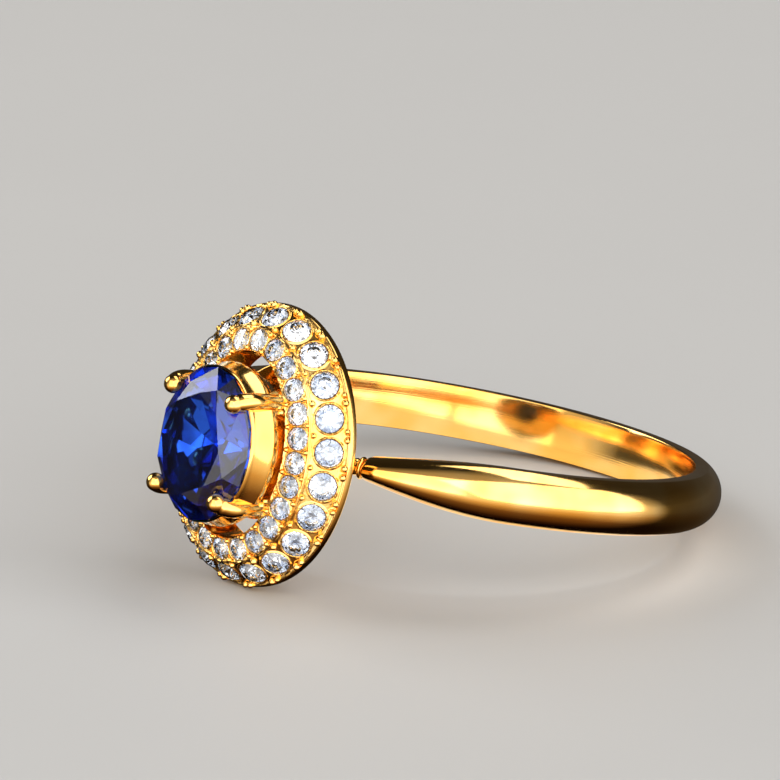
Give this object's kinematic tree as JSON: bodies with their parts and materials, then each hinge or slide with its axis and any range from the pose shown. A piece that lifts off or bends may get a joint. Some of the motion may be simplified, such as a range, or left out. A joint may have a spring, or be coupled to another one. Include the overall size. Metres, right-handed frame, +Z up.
{
  "type": "halo engagement ring",
  "caption": "Finger ring with an oval blue stone in a prong basket, a domed oval halo paved with small clear stones, and a half-round band narrowing to the head.",
  "frame": {"origin": "middle of the footprint on the table the ring lies on, in X and Y, at table height", "axes": "+Z up from the table, -Y the way the head faces, X across the head; the finger's axis leans about 12 degrees from +Z towards +Y"},
  "size_m": [0.0196, 0.0238, 0.0102],
  "materials": {
    "gold": "polished yellow gold",
    "sapphire": "faceted, polished",
    "diamond": "faceted, polished"
  },
  "bodies": {
    "root": {"basket": "gold", "centre_stone": "sapphire", "gallery": "gold", "halo": "gold", "inner_stone_01": "diamond", "inner_stone_02": "diamond", "inner_stone_03": "diamond", "inner_stone_04": "diamond", "inner_stone_05": "diamond", "inner_stone_06": "diamond", "inner_stone_07": "diamond", "inner_stone_08": "diamond", "inner_stone_09": "diamond", "inner_stone_10": "diamond", "inner_stone_11": "diamond", "inner_stone_12": "diamond", "inner_stone_13": "diamond", "inner_stone_14": "diamond", "inner_stone_15": "diamond", "inner_stone_16": "diamond", "inner_stone_17": "diamond", "inner_stone_18": "diamond", "inner_stone_19": "diamond", "inner_stone_20": "diamond", "inner_stone_21": "diamond", "inner_stone_22": "diamond", "inner_stone_23": "diamond", "inner_stone_24": "diamond", "outer_stone_01": "diamond", "outer_stone_02": "diamond", "outer_stone_03": "diamond", "outer_stone_04": "diamond", "outer_stone_05": "diamond", "outer_stone_06": "diamond", "outer_stone_07": "diamond", "outer_stone_08": "diamond", "outer_stone_09": "diamond", "outer_stone_10": "diamond", "outer_stone_11": "diamond", "outer_stone_12": "diamond", "outer_stone_13": "diamond", "outer_stone_14": "diamond", "outer_stone_15": "diamond", "outer_stone_16": "diamond", "outer_stone_17": "diamond", "outer_stone_18": "diamond", "outer_stone_19": "diamond", "outer_stone_20": "diamond", "outer_stone_21": "diamond", "outer_stone_22": "diamond", "prong_back_left": "gold", "prong_back_right": "gold", "prong_front_left": "gold", "prong_front_right": "gold", "shank": "gold", "shoulder_collar_left": "gold", "shoulder_collar_right": "gold"}
  },
  "joints": []
}
